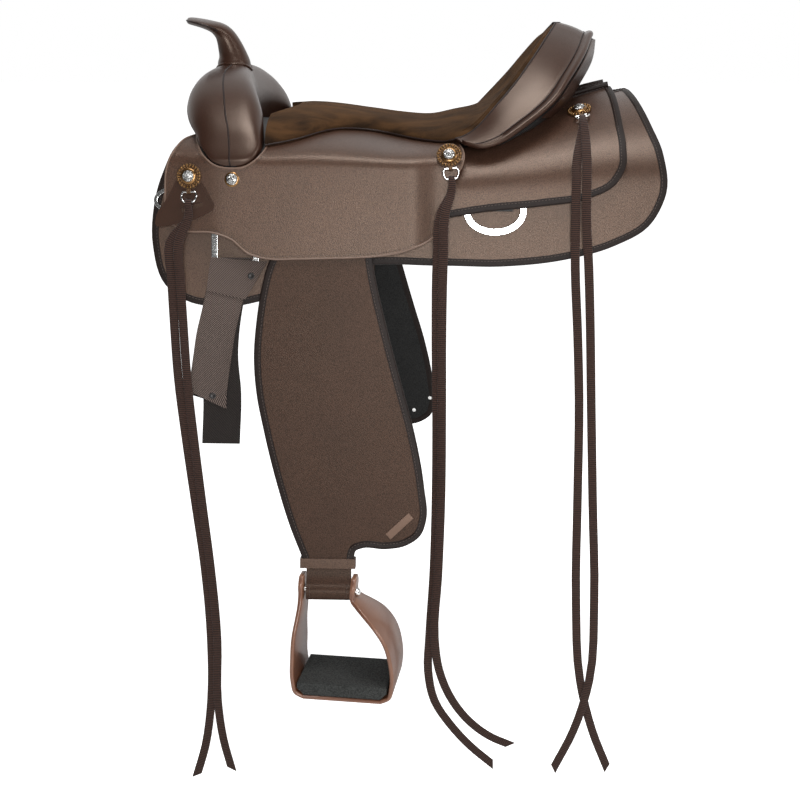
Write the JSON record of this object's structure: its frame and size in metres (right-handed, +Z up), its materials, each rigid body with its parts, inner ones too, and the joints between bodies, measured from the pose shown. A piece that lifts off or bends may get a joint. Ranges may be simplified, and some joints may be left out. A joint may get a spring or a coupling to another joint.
{
  "type": "western trail saddle",
  "caption": "Western trail saddle: moulded tree under layered skirts and jockeys, suede seat, horn, swinging fenders with stirrups, rigging dees, latigo and hanging strings.",
  "frame": {"origin": "on the horse's back under the middle of the skirts", "axes": "+X to the rear of the saddle, -X to the horn, +Z up, -Y the near side and +Y the off side"},
  "size_m": [0.65, 0.6866, 1.0329],
  "materials": {
    "grained_brown": "grained synthetic leather, satin",
    "smooth_brown": "smooth synthetic leather, soft sheen",
    "suede": "brushed suede",
    "felt": "felted underside",
    "moulded_tree": "moulded, matt",
    "latigo_webbing": "ribbed webbing",
    "string_webbing": "ribbed flat lace",
    "bright_steel": "polished",
    "gilt_leather": "metallic brown, tooled",
    "copper_brown": "copper brown, satin",
    "tread_foam": "matt foam rubber"
  },
  "bodies": {
    "saddle": {"tree": "moulded_tree", "swell_cover": "smooth_brown", "horn": "smooth_brown", "seat_cushion": "suede", "cantle_boxing": "smooth_brown", "skirt_near": "grained_brown", "skirt_felt_near": "felt", "rear_jockey_near": "grained_brown", "seat_jockey_near": "grained_brown", "screw_concho_near": "bright_steel", "rosette_front_near": "gilt_leather", "concho_front_near": "bright_steel", "rosette_mid_near": "gilt_leather", "concho_mid_near": "bright_steel", "rosette_rear_near": "gilt_leather", "concho_rear_near": "bright_steel", "skirt_off": "grained_brown", "skirt_felt_off": "felt", "rear_jockey_off": "grained_brown", "seat_jockey_off": "grained_brown", "screw_concho_off": "bright_steel", "rosette_front_off": "gilt_leather", "concho_front_off": "bright_steel", "rosette_mid_off": "gilt_leather", "concho_mid_off": "bright_steel", "rosette_rear_off": "gilt_leather", "concho_rear_off": "bright_steel"},
    "fender_swing_near": {"fender_top_near": "grained_brown"},
    "fender_flex_near": {"fender_near": "grained_brown", "stirrup_leather_near": "smooth_brown", "fender_keeper_near": "grained_brown"},
    "stirrup_near": {"stirrup_near": "copper_brown", "tread_pad_near": "tread_foam", "stirrup_bolt_near": "bright_steel"},
    "latigo_keeper_near": {"latigo_keeper_near": "smooth_brown"},
    "front_rigging_near": {"front_rigging_dee_near": "bright_steel", "latigo_near": "latigo_webbing"},
    "rear_dee_near": {"rear_rigging_dee_near": "bright_steel"},
    "breast_dee_near": {"breast_collar_dee_near": "bright_steel"},
    "string_dee_front_near": {"string_dee_front_near": "bright_steel", "string_front": "string_webbing"},
    "string_dee_mid_near": {"string_dee_mid_near": "bright_steel", "string_mid": "string_webbing"},
    "string_dee_rear_near": {"string_dee_rear_near": "bright_steel", "string_rear": "string_webbing"},
    "fender_swing_off": {"fender_top_off": "grained_brown"},
    "fender_flex_off": {"fender_off": "grained_brown", "stirrup_leather_off": "smooth_brown", "fender_keeper_off": "grained_brown"},
    "stirrup_off": {"stirrup_off": "copper_brown", "tread_pad_off": "tread_foam", "stirrup_bolt_off": "bright_steel"},
    "latigo_keeper_off": {"latigo_keeper_off": "smooth_brown"},
    "front_rigging_off": {"front_rigging_dee_off": "bright_steel", "billet_off": "latigo_webbing"},
    "rear_dee_off": {"rear_rigging_dee_off": "bright_steel"},
    "breast_dee_off": {"breast_collar_dee_off": "bright_steel"},
    "string_dee_front_off": {"string_dee_front_off": "bright_steel"},
    "string_dee_mid_off": {"string_dee_mid_off": "bright_steel"},
    "string_dee_rear_off": {"string_dee_rear_off": "bright_steel"}
  },
  "joints": [
    {"name": "fender_swing_near", "type": "hinge", "parent": "saddle", "child": "fender_swing_near", "pos_m": [-0.085, -0.20166, -0.022], "axis": [0, 0.9848, -0.1736], "range_deg": [-18, 20]},
    {"name": "fender_flex_near", "type": "hinge", "parent": "fender_swing_near", "child": "fender_flex_near", "pos_m": [-0.0975, -0.22773, -0.148], "axis": [-1, 0, 0], "range_deg": [0, 60]},
    {"name": "stirrup_turn_near", "type": "hinge", "parent": "fender_flex_near", "child": "stirrup_near", "pos_m": [-0.0975, -0.29012, -0.524], "axis": [0.9945, -0.1045, 0], "range_deg": [-40, 40]},
    {"name": "latigo_keeper_turn_near", "type": "hinge", "parent": "saddle", "child": "latigo_keeper_near", "pos_m": [-0.2735, -0.20577, -0.00284], "axis": [0.072, 0.9822, -0.1732], "range_deg": [-10, 15]},
    {"name": "front_ring_swing_near", "type": "hinge", "parent": "saddle", "child": "front_rigging_near", "pos_m": [-0.2185, -0.19759, -0.045], "axis": [0, 0.9848, -0.1736], "range_deg": [-6, 6]},
    {"name": "rear_dee_lift_near", "type": "hinge", "parent": "saddle", "child": "rear_dee_near", "pos_m": [0.1105, -0.19457, -0.0365], "axis": [-1, 0, 0], "range_deg": [0, 3]},
    {"name": "breast_dee_lift_near", "type": "hinge", "parent": "saddle", "child": "breast_dee_near", "pos_m": [-0.287, -0.19413, -0.034], "axis": [0, 0.1736, 0.9848], "range_deg": [0, 6]},
    {"name": "string_dee_lift_front_near", "type": "hinge", "parent": "saddle", "child": "string_dee_front_near", "pos_m": [-0.27358, -0.21467, -0.02097], "axis": [-0.9972, 0.0678, -0.0301], "range_deg": [0, 35]},
    {"name": "string_dee_lift_mid_near", "type": "hinge", "parent": "saddle", "child": "string_dee_mid_near", "pos_m": [0.05398, -0.20605, 0.00874], "axis": [-0.9942, -0.0459, -0.0976], "range_deg": [0, 35]},
    {"name": "string_dee_lift_rear_near", "type": "hinge", "parent": "saddle", "child": "string_dee_rear_near", "pos_m": [0.22041, -0.1262, 0.0685], "axis": [-0.9773, -0.0097, -0.2117], "range_deg": [0, 35]},
    {"name": "fender_swing_off", "type": "hinge", "parent": "saddle", "child": "fender_swing_off", "pos_m": [-0.085, 0.20166, -0.022], "axis": [0, 0.9848, 0.1736], "range_deg": [-18, 20]},
    {"name": "fender_flex_off", "type": "hinge", "parent": "fender_swing_off", "child": "fender_flex_off", "pos_m": [-0.0975, 0.22773, -0.148], "axis": [1, 0, 0], "range_deg": [0, 60]},
    {"name": "stirrup_turn_off", "type": "hinge", "parent": "fender_flex_off", "child": "stirrup_off", "pos_m": [-0.0975, 0.29012, -0.524], "axis": [0.9945, 0.1045, 0], "range_deg": [-40, 40]},
    {"name": "latigo_keeper_turn_off", "type": "hinge", "parent": "saddle", "child": "latigo_keeper_off", "pos_m": [-0.2735, 0.20577, -0.00284], "axis": [0.072, -0.9822, -0.1732], "range_deg": [-10, 15]},
    {"name": "front_ring_swing_off", "type": "hinge", "parent": "saddle", "child": "front_rigging_off", "pos_m": [-0.2185, 0.19759, -0.045], "axis": [0, 0.9848, 0.1736], "range_deg": [-6, 6]},
    {"name": "rear_dee_lift_off", "type": "hinge", "parent": "saddle", "child": "rear_dee_off", "pos_m": [0.1105, 0.19457, -0.0365], "axis": [1, 0, 0], "range_deg": [0, 3]},
    {"name": "breast_dee_lift_off", "type": "hinge", "parent": "saddle", "child": "breast_dee_off", "pos_m": [-0.287, 0.19413, -0.034], "axis": [0, 0.1736, -0.9848], "range_deg": [0, 6]},
    {"name": "string_dee_lift_front_off", "type": "hinge", "parent": "saddle", "child": "string_dee_front_off", "pos_m": [-0.27358, 0.21467, -0.02097], "axis": [0.9972, 0.0678, 0.0301], "range_deg": [0, 35]},
    {"name": "string_dee_lift_mid_off", "type": "hinge", "parent": "saddle", "child": "string_dee_mid_off", "pos_m": [0.05398, 0.20605, 0.00874], "axis": [0.9942, -0.0459, 0.0976], "range_deg": [0, 35]},
    {"name": "string_dee_lift_rear_off", "type": "hinge", "parent": "saddle", "child": "string_dee_rear_off", "pos_m": [0.22041, 0.1262, 0.0685], "axis": [0.9773, -0.0097, 0.2117], "range_deg": [0, 35]}
  ]
}
